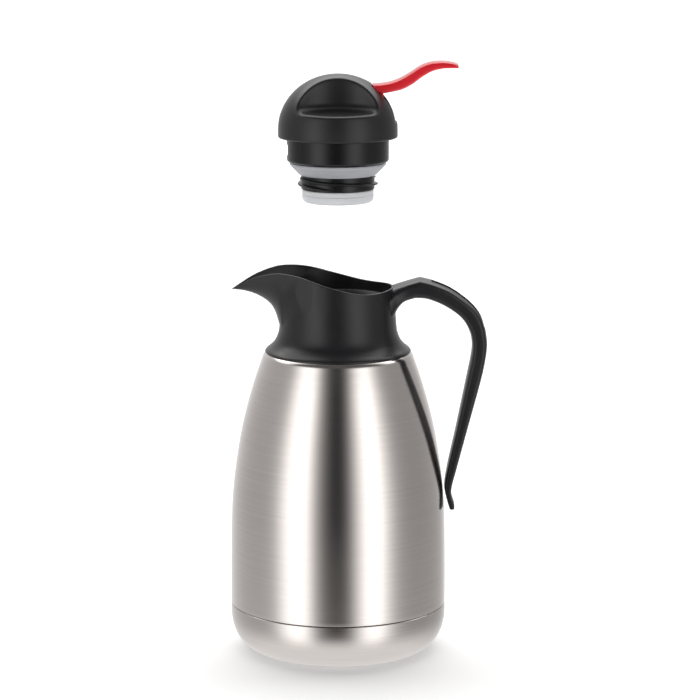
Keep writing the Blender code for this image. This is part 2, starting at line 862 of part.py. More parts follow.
def thread_ridge(name, start, parent):
    """One start of the plug's coarse thread: a ridge wound about the plug and sunk into it."""
    steps = 20
    bite = 1.3
    core = PLUG_OUTLINE[0][0] - 0.8
    section = ((0.0, bite), (THREAD_RADIUS - core, 0.6), (THREAD_RADIUS - core, -0.6), (0.0, -bite))
    mesh = bpy.data.meshes.new(name)
    build = bmesh.new()
    rows = []
    for step in range(steps + 1):
        share = step / steps
        turn = 2.0 * math.pi * (start + share * THREAD_TURN)
        fade = min(1.0, share * 6.0, (1.0 - share) * 6.0)
        row = []
        for out, up in section:
            radius = (core + out * (0.3 + 0.7 * fade)) * MM
            height = (THREAD_TOP - THREAD_LEAD * share * THREAD_TURN + up) * MM
            row.append(
                build.verts.new((radius * math.cos(turn), radius * math.sin(turn), height))
            )
        rows.append(row)
    for here, there in zip(rows, rows[1:]):
        for k in range(4):
            build.faces.new((here[k], here[(k + 1) % 4], there[(k + 1) % 4], there[k]))
    build.faces.new(rows[0])
    build.faces.new(rows[-1])
    bmesh.ops.recalc_face_normals(build, faces=build.faces)
    build.to_mesh(mesh)
    build.free()
    return place(name, mesh, None, parent)


def plug_and_seals(stopper):
    plug = turned("threaded_plug", PLUG_OUTLINE, "gloss_black", stopper)
    for start in range(THREAD_STARTS):
        join(plug, thread_ridge(f"thread_{start}", start / THREAD_STARTS, stopper))
    turned("cone_gasket", CONE_GASKET, "grey_silicone", stopper)
    turned("bottom_seal", BOTTOM_SEAL, "white_silicone", stopper)


def valve(stopper):
    radius, top, bottom = STEM
    flange, flange_top = STEM_FLANGE
    stem = (
        (0.0, top),
        (radius, top),
        (radius, flange_top),
        (flange, flange_top),
        (flange, bottom),
        (0.0, bottom),
    )
    solid_of_turn("valve_stem", stem, "spring_steel", stopper, FINE_SIDES)
    disc("valve_disc", DISC[0], DISC[2], DISC[1], "grey_silicone", stopper, FINE_SIDES, 0.5)
    head, head_low, head_high = HEAD
    peg, peg_top = HEAD_PEG
    outline = (
        (0.0, peg_top),
        (peg, peg_top),
        (peg, head_high),
        (head, head_high),
        (head, head_low),
        (0.0, head_low),
    )
    solid_of_turn("stem_head", outline, "gloss_black", stopper, FINE_SIDES)
    outline = [(0.0, SPRING_SEAT[0][1]), *SPRING_SEAT]
    solid_of_turn("spring_seat", outline, "gloss_black", stopper, FINE_SIDES)


def spring(stopper):
    low = SPRING_Z[0] + SPRING_WIRE + 0.2
    high = SPRING_Z[1] - SPRING_WIRE
    wire = bpy.data.curves.new("valve_spring", "CURVE")
    wire.dimensions = "3D"
    wire.bevel_depth = SPRING_WIRE * MM
    wire.bevel_resolution = 1
    wire.use_fill_caps = True
    spline = wire.splines.new("POLY")
    count = SPRING_TURNS * SPRING_POINTS + 1
    spline.points.add(count - 1)
    for k, point in enumerate(spline.points):
        share = k / (count - 1)
        turn = 2.0 * math.pi * SPRING_TURNS * share
        point.co = (
            SPRING_RADIUS * math.cos(turn) * MM,
            SPRING_RADIUS * math.sin(turn) * MM,
            (low + (high - low) * share) * MM,
            1.0,
        )
    made = bpy.data.objects.new("valve_spring", wire)
    wire.materials.append(material("spring_steel"))
    made.parent = stopper
    PARTS.objects.link(made)


clear_scene()
PARTS = collection("vacuum_jug")
CUTTERS = collection("cutters")
steel_body()
mouth()
handle()
STOPPER = empty("stopper_axis", (0.0, 0.0, STOPPER_Z))
dome(STOPPER)
lever(STOPPER)
stopper_housing(STOPPER)
plug_and_seals(STOPPER)
valve(STOPPER)
spring(STOPPER)
bpy.context.view_layer.update()
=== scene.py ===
"""Looks for the double-wall vacuum jug and its press-lever stopper.

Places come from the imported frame. Outlines are (radius, height) pairs in millimetres, and MM turns
them into metres. Stopper pieces are measured from the lower edge of the stopper's skirt.
"""
import json
import math

import bmesh
import bpy
import numpy as np
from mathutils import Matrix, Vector


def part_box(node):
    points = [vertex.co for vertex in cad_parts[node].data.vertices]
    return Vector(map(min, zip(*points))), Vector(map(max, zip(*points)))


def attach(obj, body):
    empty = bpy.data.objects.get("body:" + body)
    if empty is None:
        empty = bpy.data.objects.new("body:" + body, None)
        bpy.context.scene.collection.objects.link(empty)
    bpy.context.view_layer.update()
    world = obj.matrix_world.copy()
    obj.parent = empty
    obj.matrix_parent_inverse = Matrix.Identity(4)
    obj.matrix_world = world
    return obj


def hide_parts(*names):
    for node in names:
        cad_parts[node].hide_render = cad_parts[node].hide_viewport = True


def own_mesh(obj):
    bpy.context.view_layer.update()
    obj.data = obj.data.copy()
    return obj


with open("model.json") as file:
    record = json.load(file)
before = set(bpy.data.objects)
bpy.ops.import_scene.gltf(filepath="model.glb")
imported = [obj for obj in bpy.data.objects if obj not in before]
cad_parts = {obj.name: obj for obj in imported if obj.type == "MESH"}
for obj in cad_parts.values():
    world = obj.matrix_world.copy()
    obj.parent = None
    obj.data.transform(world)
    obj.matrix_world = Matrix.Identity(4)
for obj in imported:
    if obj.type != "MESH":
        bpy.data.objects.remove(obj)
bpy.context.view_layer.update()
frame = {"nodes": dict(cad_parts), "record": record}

MM = 0.001
SIDES = 192
FINE_SIDES = 96


def low(node):
    return [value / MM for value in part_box(node)[0]]


def high(node):
    return [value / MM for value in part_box(node)[1]]


STOPPER_Z = low("dome_cap")[2]
SHELL_RADIUS = high("outer_shell")[0]
SEAM_Z = high("base_cup")[2]
SHELL_TOP = high("outer_shell")[2]
TIP = -low("collar")[0]


# ---------------------------------------------------------------- curves

def through(points, steps):
    """Points along a smooth curve through the given ones, with some steps between each two."""
    points = [tuple(point) for point in points]
    first = tuple(2.0 * a - b for a, b in zip(points[0], points[1]))
    last = tuple(2.0 * a - b for a, b in zip(points[-1], points[-2]))
    ends = [first, *points, last]
    curve = []
    for k in range(1, len(ends) - 2):
        before, start, end, after = (np.array(point) for point in ends[k - 1 : k + 3])
        for step in range(steps):
            t = step / steps
            curve.append(
                tuple(
                    start
                    + 0.5 * t * (end - before)
                    + t * t * (before - 2.5 * start + 2.0 * end - 0.5 * after)
                    + t**3 * (1.5 * (start - end) + 0.5 * (after - before))
                )
            )
    return [*curve, points[-1]]


def height_on(points, x):
    """The smooth curve's second coordinate where its first is x."""
    if x <= points[0][0]:
        return points[0][1]
    for k in range(len(points) - 1):
        (x0, z0), (x1, z1) = points[k], points[k + 1]
        if x <= x1:
            left = points[max(k - 1, 0)]
            right = points[min(k + 2, len(points) - 1)]
            span = x1 - x0
            slope0 = (z1 - left[1]) / (x1 - left[0]) * span
            slope1 = (right[1] - z0) / (right[0] - x0) * span
            t = (x - x0) / span
            return (
                z0 * (1.0 + 2.0 * t) * (1.0 - t) ** 2
                + slope0 * t * (1.0 - t) ** 2
                + z1 * t * t * (3.0 - 2.0 * t)
                + slope1 * t * t * (t - 1.0)
            )
    return points[-1][1]


def table_of(points, count=600):
    """The smooth curve as a function that takes arrays."""
    xs = np.linspace(points[0][0], points[-1][0], count)
    zs = np.array([height_on(points, x) for x in xs])
    return lambda x: np.interp(x, xs, zs)


def rounded(outline, radius, steps=4, closed=True):
    """The outline with each of its corners turned into a small arc."""
    count = len(outline)
    result = []
    for k, point in enumerate(outline):
        if not closed and k in (0, count - 1):
            result.append(point)
            continue
        here = np.array(point)
        before = np.array(outline[k - 1]) - here
        after = np.array(outline[(k + 1) % count]) - here
        span0, span1 = np.linalg.norm(before), np.linalg.norm(after)
        straight = np.dot(before, after) / (span0 * span1)
        if straight < -0.95:
            result.append(point)
            continue
        reach = min(radius, 0.42 * span0, 0.42 * span1)
        start = here + before / span0 * reach
        end = here + after / span1 * reach
        for step in range(steps + 1):
            t = step / steps
            arc = (1 - t) ** 2 * start + 2 * t * (1 - t) * here + t * t * end
            result.append(tuple(arc))
    return result


def offset(points, distance):
    """The outline moved inwards, to the right of its direction of travel."""
    moved = []
    for k, (x, z) in enumerate(points):
        before = points[max(k - 1, 0)]
        after = points[min(k + 1, len(points) - 1)]
        along_x, along_z = after[0] - before[0], after[1] - before[1]
        length = math.hypot(along_x, along_z)
        moved.append((x + along_z / length * distance, z - along_x / length * distance))
    return moved


def beyond(start, end, distance):
    """The point that lies past the end, on the line from the start."""
    along = np.array(end) - np.array(start)
    return tuple(np.array(end) + along / np.linalg.norm(along) * distance)


def resampled(points, count):
    """The polyline as evenly spaced points."""
    path = np.array(points)
    steps = np.hypot(*np.diff(path, axis=0).T)
    along = np.concatenate([[0.0], np.cumsum(steps)])
    places = np.linspace(0.0, along[-1], count)
    return np.stack([np.interp(places, along, path[:, k]) for k in (0, 1)], axis=1)


# ---------------------------------------------------------------- meshes

def mesh_object(name, points, faces, sharp=38.0):
    """A smooth-shaded object from points in millimetres."""
    mesh = bpy.data.meshes.new(name)
    mesh.from_pydata((np.asarray(points) * MM).tolist(), [], [list(face) for face in faces])
    mesh.validate()
    build = bmesh.new()
    build.from_mesh(mesh)
    bmesh.ops.recalc_face_normals(build, faces=build.faces)
    build.to_mesh(mesh)
    build.free()
    mesh.shade_smooth()
    mesh.set_sharp_from_angle(angle=math.radians(sharp))
    made = bpy.data.objects.new(name, mesh)
    bpy.context.scene.collection.objects.link(made)
    return made


def turned(name, outline, lift=0.0, sides=SIDES, sharp=38.0):
    """Turn a closed (radius, height) outline about Z. Points on the axis become single points."""
    points = []
    rows = []
    turns = np.linspace(0.0, 2.0 * math.pi, sides, endpoint=False)
    for radius, height in outline:
        if radius < 0.001:
            rows.append([len(points)])
            points.append((0.0, 0.0, height + lift))
        else:
            rows.append(list(range(len(points), len(points) + sides)))
            for turn in turns:
                points.append((radius * math.cos(turn), radius * math.sin(turn), height + lift))
    faces = []
    for here, there in zip(rows, rows[1:] + rows[:1]):
        if len(here) == 1 and len(there) == 1:
            continue
        for k in range(sides):
            after = (k + 1) % sides
            if len(here) == 1:
                faces.append((here[0], there[k], there[after]))
            elif len(there) == 1:
                faces.append((here[k], there[0], here[after]))
            else:
                faces.append((here[k], there[k], there[after], here[after]))
    return mesh_object(name, points, faces, sharp)


def lofted(name, loops, sharp=38.0):
    """A closed solid through loops of points, capped at both ends."""
    around = len(loops[0])
    points = np.concatenate(loops)
    faces = []
    for row in range(len(loops) - 1):
        for k in range(around):
            after = (k + 1) % around
            a, b = row * around + k, row * around + after
            faces.append((a, b, b + around, a + around))
    faces.append(tuple(range(around)))
    faces.append(tuple(len(points) - 1 - k for k in range(around)))
    return mesh_object(name, points, faces, sharp)


def block(name, low_corner, high_corner, edge=0.0):
    """A box with bevelled edges, in millimetres."""
    mesh = bpy.data.meshes.new(name)
    build = bmesh.new()
    bmesh.ops.create_cube(build, size=1.0)
    for vertex in build.verts:
        for axis in range(3):
            side = low_corner[axis] if vertex.co[axis] < 0.0 else high_corner[axis]
            vertex.co[axis] = side * MM
    if edge:
        bmesh.ops.bevel(
            build, geom=build.edges[:], offset=edge * MM, segments=3, profile=0.5, affect="EDGES"
        )
    build.to_mesh(mesh)
    build.free()
    made = bpy.data.objects.new(name, mesh)
    bpy.context.scene.collection.objects.link(made)
    return made


def rod(name, radius, start, end, sides=32):
    """A round bar between two points, in millimetres."""
    mesh = bpy.data.meshes.new(name)
    build = bmesh.new()
    along = Vector(end) - Vector(start)
    bmesh.ops.create_cone(
        build,
        cap_ends=True,
        segments=sides,
        radius1=radius * MM,
        radius2=radius * MM,
        depth=along.length * MM,
    )
    turn = along.to_track_quat("Z", "Y").to_matrix()
    middle = (Vector(start) + Vector(end)) * 0.5 * MM
    for vertex in build.verts:
        vertex.co = turn @ vertex.co + middle
    build.to_mesh(mesh)
    build.free()
    made = bpy.data.objects.new(name, mesh)
    bpy.context.scene.collection.objects.link(made)
    return made


def combine(target, other, operation, solver="MANIFOLD"):
    """Apply a boolean with another object, which is then removed."""
    change = target.modifiers.new("change", "BOOLEAN")
    change.operation = operation
    change.solver = solver
    change.object = other
    bpy.context.view_layer.update()
    seen = target.evaluated_get(bpy.context.evaluated_depsgraph_get())
    mesh = bpy.data.meshes.new_from_object(seen)
    target.modifiers.clear()
    target.data = mesh
    bpy.data.objects.remove(other)
    mesh.shade_smooth()
    mesh.set_sharp_from_angle(angle=math.radians(38.0))


def plate(name, outline, half_width, edge):
    """A flat outline in the XZ plane, as thick as two half widths along Y, with rounded edges."""
    build = bmesh.new()
    near = [build.verts.new((x * MM, -half_width * MM, z * MM)) for x, z in outline]
    far = [build.verts.new((x * MM, half_width * MM, z * MM)) for x, z in outline]
    count = len(outline)
    for k in range(count):
        after = (k + 1) % count
        build.faces.new((near[k], near[after], far[after], far[k]))
    caps = [build.faces.new(near), build.faces.new(list(reversed(far)))]
    bmesh.ops.recalc_face_normals(build, faces=build.faces)
    rim = [side for cap in caps for side in cap.edges]
    if edge:
        bmesh.ops.bevel(build, geom=rim, offset=edge * MM, segments=3, profile=0.5, affect="EDGES")
    bmesh.ops.triangulate(build, faces=[face for face in build.faces if len(face.verts) > 4])
    mesh = bpy.data.meshes.new(name)
    build.to_mesh(mesh)
    build.free()
    made = bpy.data.objects.new(name, mesh)
    bpy.context.scene.collection.objects.link(made)
    return made


def soft_section(centre_out, centre_in, half, corner, around, crown=0.0):
    """A loop of a soft rectangle between an outer and an inner point of the XZ plane."""
    loop = []
    for k in range(around):
        turn = 2.0 * math.pi * (k + 0.5) / around
        across = math.copysign(abs(math.cos(turn)) ** (2.0 / corner), math.cos(turn))
        along = math.copysign(abs(math.sin(turn)) ** (2.0 / corner), math.sin(turn))
        share = (1.0 - across) / 2.0 + crown * along * along * across
        x = centre_out[0] + (centre_in[0] - centre_out[0]) * share
        z = centre_out[1] + (centre_in[1] - centre_out[1]) * share
        loop.append((x, half * along, z))
    return np.array(loop)


# ---------------------------------------------------------------- materials

def socket(shader, name, value):
    shader.inputs[name].default_value = value


def base_material(name, colour, roughness, metallic=0.0):
    made = bpy.data.materials.new(name)
    made.use_nodes = True
    shader = made.node_tree.nodes["Principled BSDF"]
    socket(shader, "Base Color", (*colour, 1.0))
    socket(shader, "Roughness", roughness)
    socket(shader, "Metallic", metallic)
    return made


def noise(material, scale, stretch=(1.0, 1.0, 1.0), detail=3.0):
    """A noise texture in the object's own metres. Its stretch makes streaks."""
    nodes, links = material.node_tree.nodes, material.node_tree.links
    place = nodes.new("ShaderNodeTexCoord")
    mapping = nodes.new("ShaderNodeMapping")
    mapping.inputs["Scale"].default_value = stretch
    texture = nodes.new("ShaderNodeTexNoise")
    texture.inputs["Scale"].default_value = scale
    texture.inputs["Detail"].default_value = detail
    links.new(place.outputs["Object"], mapping.inputs["Vector"])
    links.new(mapping.outputs["Vector"], texture.inputs["Vector"])
    return texture


def ranged(material, texture, low_value, high_value, low_in=0.3, high_in=0.7):
    """The noise's middle range, mapped to two values."""
    nodes, links = material.node_tree.nodes, material.node_tree.links
    scale = nodes.new("ShaderNodeMapRange")
    scale.inputs["From Min"].default_value = low_in
    scale.inputs["From Max"].default_value = high_in
    scale.inputs["To Min"].default_value = low_value
    scale.inputs["To Max"].default_value = high_value
    links.new(texture.outputs["Fac"], scale.inputs["Value"])
    return scale.outputs["Result"]


def vary_roughness(material, texture, low_value, high_value):
    shader = material.node_tree.nodes["Principled BSDF"]
    result = ranged(material, texture, low_value, high_value)
    material.node_tree.links.new(result, shader.inputs["Roughness"])


def vary_colour(material, texture, first, second, low_in=0.3, high_in=0.7):
    nodes, links = material.node_tree.nodes, material.node_tree.links
    mix = nodes.new("ShaderNodeMix")
    mix.data_type = "RGBA"
    mix.inputs["A"].default_value = (*first, 1.0)
    mix.inputs["B"].default_value = (*second, 1.0)
    share = ranged(material, texture, 0.0, 1.0, low_in, high_in)
    links.new(share, mix.inputs["Factor"])
    links.new(mix.outputs["Result"], nodes["Principled BSDF"].inputs["Base Color"])
    return mix


def bumps(material, texture, depth, strength=1.0, under=None):
    """Relief from a texture, in millimetres, over another relief if there is one."""
    nodes, links = material.node_tree.nodes, material.node_tree.links
    bump = nodes.new("ShaderNodeBump")
    bump.inputs["Distance"].default_value = depth * MM
    bump.inputs["Strength"].default_value = strength
    links.new(texture.outputs["Fac"], bump.inputs["Height"])
    if under:
        links.new(under.outputs["Normal"], bump.inputs["Normal"])
    links.new(bump.outputs["Normal"], nodes["Principled BSDF"].inputs["Normal"])
    return bump


def brushed_steel(name, bright, dark, rough_low, rough_high):
    """Steel brushed around its axis: long level streaks, and highlights stretched up and down."""
    made = base_material(name, bright, rough_low, 1.0)
    nodes, links = made.node_tree.nodes, made.node_tree.links
    shader = nodes["Principled BSDF"]
    socket(shader, "Anisotropic", 0.55)
    socket(shader, "Anisotropic Rotation", 0.25)
    tangent = nodes.new("ShaderNodeTangent")
    tangent.direction_type = "RADIAL"
    tangent.axis = "Z"
    links.new(tangent.outputs["Tangent"], shader.inputs["Tangent"])
    streaks = noise(made, 1.0, (14.0, 14.0, 1100.0), 5.0)
    hairs = noise(made, 1.0, (45.0, 45.0, 4200.0), 2.0)
    vary_colour(made, streaks, dark, bright, 0.25, 0.75)
    vary_roughness(made, hairs, rough_low, rough_high)
    first = bumps(made, streaks, 0.003)
    bumps(made, hairs, 0.0015, under=first)
    return made


def moulded(name, colour, lighter, rough_low, rough_high, grain, depth):
    """Moulded plastic: a fine grain, with broad slight changes of gloss and tone."""
    made = base_material(name, colour, rough_low)
    fine = noise(made, grain, detail=4.0)
    broad = noise(made, 38.0, detail=3.0)
    vary_colour(made, broad, colour, lighter)
    vary_roughness(made, broad, rough_low, rough_high)
    if depth:
        bumps(made, fine, depth)
    return made


def silicone(name, colour, lighter, subsurface):
    """Soft rubber that lets a little light through."""
    made = moulded(name, colour, lighter, 0.36, 0.46, 900.0, 0.010)
    shader = made.node_tree.nodes["Principled BSDF"]
    socket(shader, "Subsurface Weight", subsurface)
    socket(shader, "Subsurface Radius", (0.9, 0.9, 1.0))
    socket(shader, "Subsurface Scale", 0.0022)
    return made


STEEL = brushed_steel("brushed_steel", (0.735, 0.69, 0.665), (0.69, 0.645, 0.62), 0.15, 0.20)
CUP_STEEL = brushed_steel("base_steel", (0.72, 0.675, 0.65), (0.67, 0.63, 0.605), 0.20, 0.26)
LINER_STEEL = brushed_steel("liner_steel", (0.68, 0.67, 0.66), (0.62, 0.61, 0.60), 0.18, 0.26)
SATIN = moulded("satin_black", (0.010, 0.010, 0.012), (0.013, 0.013, 0.015), 0.30, 0.37, 1500.0, 0.004)
STRIP = moulded("dark_strip", (0.006, 0.006, 0.007), (0.009, 0.009, 0.010), 0.42, 0.52, 1900.0, 0.012)
DOME = moulded("dome_black", (0.011, 0.011, 0.013), (0.014, 0.014, 0.016), 0.33, 0.39, 2600.0, 0.020)
GLOSS = moulded("gloss_black", (0.005, 0.005, 0.006), (0.007, 0.007, 0.008), 0.22, 0.28, 600.0, 0.002)
# Painted shade: the seat ring gets a darker, duller copy of the black plastic, which stands in for the
# shade deep inside the mouth.
PAINTED_SHADE_BLACK = moulded("seat_black_painted_shade", (0.004, 0.004, 0.005), (0.006, 0.006, 0.007), 0.40, 0.50, 1200.0, 0.006)
for finish, level in ((SATIN, 0.42), (STRIP, 0.3), (DOME, 0.42), (GLOSS, 0.36), (PAINTED_SHADE_BLACK, 0.25)):
    socket(finish.node_tree.nodes["Principled BSDF"], "Specular IOR Level", level)
RED = moulded("lever_red", (0.66, 0.012, 0.022), (0.70, 0.016, 0.028), 0.16, 0.22, 700.0, 0.002)
GREY = silicone("grey_silicone", (0.33, 0.335, 0.36), (0.38, 0.385, 0.41), 0.25)
WHITE = silicone("white_silicone", (0.60, 0.615, 0.64), (0.65, 0.66, 0.68), 0.45)
PIN = brushed_steel("pin_steel", (0.62, 0.62, 0.63), (0.48, 0.48, 0.50), 0.20, 0.32)
GETTER = moulded("getter_alloy", (0.24, 0.23, 0.21), (0.33, 0.31, 0.28), 0.55, 0.70, 2200.0, 0.06)
GETTER.node_tree.nodes["Principled BSDF"].inputs["Metallic"].default_value = 1.0

SLOT_MATERIALS = {
    "shell_steel": STEEL,
    "liner_steel": LINER_STEEL,
    "getter_alloy": GETTER,
    "satin_black": SATIN,
    "dark_strip": STRIP,
    "dome_black": DOME,
    "gloss_black": GLOSS,
    "lever_red": RED,
    "grey_silicone": GREY,
    "white_silicone": WHITE,
    "pin_steel": PIN,
}
NODE_SLOTS = {entry["node"]: entry["material_slot"] for entry in frame["record"]["subparts"]}


def finish_piece(piece, node, body, material=None):
    """A new piece stands for one CAD node: it takes the material it is given, or else its slot's, and rides
    on its body.
    """
    slot = NODE_SLOTS[node]
    piece.data.materials.clear()
    piece.data.materials.append(material or SLOT_MATERIALS[slot])
    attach(piece, body)
    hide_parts(node)
    return piece


# ---------------------------------------------------------------- steel body

def outer_shell():
    wall = 0.6
    upper = [
        (47.6, 194.4),
        (49.5, 190.0),
        (54.0, 176.8),
        (58.6, 161.0),
        (62.4, 145.0),
        (65.2, 129.0),
        (67.4, 113.0),
        (68.8, 97.0),
        (69.5, 78.0),
        (SHELL_RADIUS, 50.0),
        (SHELL_RADIUS, SEAM_Z + 1.0),
    ]
    shoulder = [(31.0, SHELL_TOP), (31.0, 211.0), (31.8, 206.6)]
    shoulder += [(34.6, 203.4), (39.0, 200.2), (44.0, 197.2)]
    outside = through([*shoulder, *upper], 8)
    edge = [(SHELL_RADIUS - 0.05, SEAM_Z + 0.6), (SHELL_RADIUS - 0.35, SEAM_Z + 0.4)]
    inside = [(radius, height) for radius, height in offset(outside, wall)]
    piece = turned("steel_shell", [*outside, *edge, *reversed(inside)])
    finish_piece(piece, "outer_shell", "jug")


def base_cup():
    corner_wide, corner_high = 18.0, 24.0
    foot = 46.0
    wall = 0.8
    recess = 2.1
    outside = [(SHELL_RADIUS - 0.35, SEAM_Z), (SHELL_RADIUS - 0.08, SEAM_Z - 0.25)]
    outside.append((SHELL_RADIUS, SEAM_Z - 0.7))
    bend = []
    for step in range(31):
        turn = math.radians(3.0 * step)
        radius = SHELL_RADIUS - corner_wide * (1.0 - math.cos(turn))
        bend.append((radius, corner_high * (1.0 - math.sin(turn))))
    outside += bend
    under = rounded(
        [outside[-1], (foot, 0.0), (foot - 1.5, recess), (foot - 8.0, recess)], 0.9, 4, closed=False
    )
    rings = [
        (radius, recess + 0.25 * math.sin(max(0.0, 1.0 - abs(radius - 31.0) / 2.4) * math.pi / 2))
        for radius in np.linspace(36.0, 21.0, 31)
    ]
    outside += [*under[1:], *rings, (0.0, recess)]
    floor = recess + wall
    inside = [(0.0, floor)]
    inside += [(radius - wall, max(height + wall, floor)) for radius, height in bend[-2:0:-1]]
    inside.append((SHELL_RADIUS - wall, SEAM_Z))
    piece = turned("steel_base", [*outside, *inside])
    finish_piece(piece, "base_cup", "jug", CUP_STEEL)


def inner_liner():
    outline = [
        (29.8, SHELL_TOP),
        (29.8, 210.0),
        (30.6, 204.0),
        (33.6, 198.8),
        (40.0, 192.0),
        (46.6, 177.0),
        (51.2, 161.0),
        (55.0, 145.0),
        (58.0, 129.0),
        (60.2, 113.0),
        (61.8, 97.0),
        (62.6, 78.0),
        (62.8, 24.0),
        (60.6, 16.0),
        (54.0, 11.2),
        (44.0, 10.0),
        (20.0, 10.0),
    ]
    outside = through(outline, 5)
    inside = offset(outside, 0.6)
    piece = turned("steel_liner", [*outside, (0.0, 10.0), (0.0, 10.6), *reversed(inside)])
    finish_piece(piece, "inner_liner", "jug")


def port_cover():
    radius = high("port_cover")[0]
    top = high("port_cover")[2]
    outline = [(0.0, top), (radius, top), (radius, 0.0), (15.0, 0.0), (14.4, 0.35), (13.8, 0.0), (0.0, 0.0)]
    piece = turned("base_port_cover", rounded(outline, 0.35, 4, closed=False))
    finish_piece(piece, "port_cover", "jug")


# ---------------------------------------------------------------- collar

WAIST = (37.7, 213.0)
RIM_RADIUS = 35.7
BORE = 34.6
FLOOR_Z = 231.6
SPOUT_FULL = math.radians(46.0)
SPOUT_SPREAD = math.radians(75.0)
SLOPE = math.tan(math.asin(RIM_RADIUS / TIP))
RIM_HEIGHTS = (
    (-TIP, 236.4),
    (-62.6, 239.8),
    (-55.0, 244.0),
    (-46.3, 247.2),
    (-36.6, 248.9),
    (-22.5, 247.4),
    (-4.5, 242.1),
    (13.4, 237.8),
    (24.0, 237.0),
    (36.0, 238.0),
)
SPOUT_KEEL = (
    (36.0, 206.0),
    (38.6, 217.0),
    (40.2, 221.8),
    (43.7, 227.0),
    (49.6, 231.4),
    (56.3, 234.2),
    (62.4, 235.6),
    (TIP, 236.2),
)
LIP_FLARE = (
    (37.7, 213.0),
    (38.1, 209.5),
    (39.1, 206.0),
    (40.9, 202.4),
    (43.6, 199.4),
    (46.2, 197.3),
    (47.0, 196.2),
    (46.9, 195.5),
    (46.2, 195.8),
    (44.2, 197.9),
    (39.2, 201.0),
    (35.3, 204.2),
    (34.5, 209.0),
    (34.5, 220.0),
)
RIM = table_of(RIM_HEIGHTS)
KEEL = table_of(SPOUT_KEEL)


def wall_at(reach):
    near_tip = np.clip((reach - 50.0) / (TIP - 50.0), 0.0, 1.0)
    return 1.3 - 0.8 * near_tip


def smooth_max(a, b, blend):
    near = np.maximum(blend - np.abs(a - b), 0.0) / blend
    return np.maximum(a, b) + near * near * blend / 4.0


def rim_radius(angle, hollow):
    """The rim's plan: a circle, and two straight lines from it to the tip."""
    circle = BORE if hollow else RIM_RADIUS
    if abs(angle) > SPOUT_SPREAD:
        return circle
    radii = np.linspace(circle, TIP + 1.0, 1200)
    reach = radii * math.cos(angle)
    half = (TIP - reach) * SLOPE - (wall_at(reach) * 1.17 if hollow else 0.0)
    inside = radii * abs(math.sin(angle)) <= half
    return radii[np.nonzero(inside)[0][-1]] if inside.any() else circle


def spout_radii(angle, heights, hollow):
    """How far the spout reaches from the axis in one direction, at each height."""
    if abs(angle) > SPOUT_SPREAD:
        return np.zeros(len(heights))
    radii = np.linspace(BORE - 6.0, TIP, 900)
    reach = radii * math.cos(angle)
    side = radii * abs(math.sin(angle))
    half = (TIP - reach) * SLOPE
    top = RIM(-reach)
    bottom = KEEL(reach)
    if hollow:
        half = half - wall_at(reach) * 1.17
        bottom = np.maximum(bottom + wall_at(reach) * 1.2, FLOOR_Z + 0.12 * (reach - BORE))
    half = np.maximum(half, 1e-6)
    depth = np.maximum(top - bottom, 1e-6)
    down = np.maximum(top[None, :] - heights[:, None], 0.0) / depth[None, :]
    form = 1.0 - (side / half)[None, :] ** 2 - down**2
    result = np.zeros(len(heights))
    for row, values in enumerate(form):
        inside = np.nonzero(values >= 0.0)[0]
        if not len(inside):
            continue
        k = inside[-1]
        result[row] = radii[k]
        if k + 1 < len(radii):
            result[row] += (radii[1] - radii[0]) * values[k] / (values[k] - values[k + 1])
    return result


def spout_share(angle):
    """How much of the spout shows in one direction: all of it near the tip, and none beside."""
    share = np.clip((SPOUT_SPREAD - abs(angle)) / (SPOUT_SPREAD - SPOUT_FULL), 0.0, 1.0)
    return share * share * (3.0 - 2.0 * share)


def collar_section(angle, rows_out=44, rows_in=30, rim_rows=7):
    """One section of the collar: up the outside, over the rounded rim and down the inside."""
    fade = spout_share(angle)
    rim = rim_radius(angle, False)
    inner = BORE + (rim_radius(angle, True) - BORE) * fade
    rim_z = float(RIM(-rim * math.cos(angle)))
    inner_z = float(RIM(-inner * math.cos(angle)))
    round_off = 0.3 * (rim - inner)
    share = np.linspace(0.0, 1.0, rows_out + 1)[1:]
    heights = WAIST[1] + (rim_z - round_off - WAIST[1]) * share
    body = WAIST[0] + (RIM_RADIUS - WAIST[0]) * share
    blend = 0.05 + 6.0 * np.sin(math.pi * share)
    radii = smooth_max(body, spout_radii(angle, heights, False), blend)
    radii = body + (radii - body) * fade
    radii = np.minimum(radii, rim + 2.0 * (1.0 - share))
    radii[-1] = rim
    section = list(zip(radii, heights))
    for k in range(1, rim_rows):
        t = k / rim_rows
        radius = rim + (inner - rim) * (1.0 - math.cos(math.pi * t)) / 2.0
        height = rim_z + (inner_z - rim_z) * t
        section.append((radius, height - round_off * (1.0 - math.sin(math.pi * t))))
    share = np.linspace(0.0, 1.0, rows_in + 1)
    heights = inner_z - round_off + (FLOOR_Z - inner_z + round_off) * share
    radii = BORE + (smooth_max(BORE, spout_radii(angle, heights, True), 2.0) - BORE) * fade
    radii[0] = inner
    radii = np.minimum(radii, inner + 0.2)
    radii[-1] = BORE
    section += list(zip(radii, heights))
    return section


def collar():
    directions = 280
    flare = through(LIP_FLARE, 4)
    loops = []
    for k in range(directions):
        share = 2.0 * k / directions - 1.0
        angle = math.pi * math.copysign(abs(share) ** 1.3, share)
        whole = [*collar_section(angle), *reversed(flare)]
        loops.append(
            [(-radius * math.cos(angle), -radius * math.sin(angle), height) for radius, height in whole]
        )
    rows = len(loops[0])
    points = np.array(loops).reshape(-1, 3)
    faces = []
    for k in range(directions):
        there = (k + 1) % directions
        for row in range(rows):
            after = (row + 1) % rows
            faces.append((k * rows + row, there * rows + row, there * rows + after, k * rows + after))
    piece = mesh_object("spout_collar", points, faces, 45.0)
    finish_piece(piece, "collar", "jug")


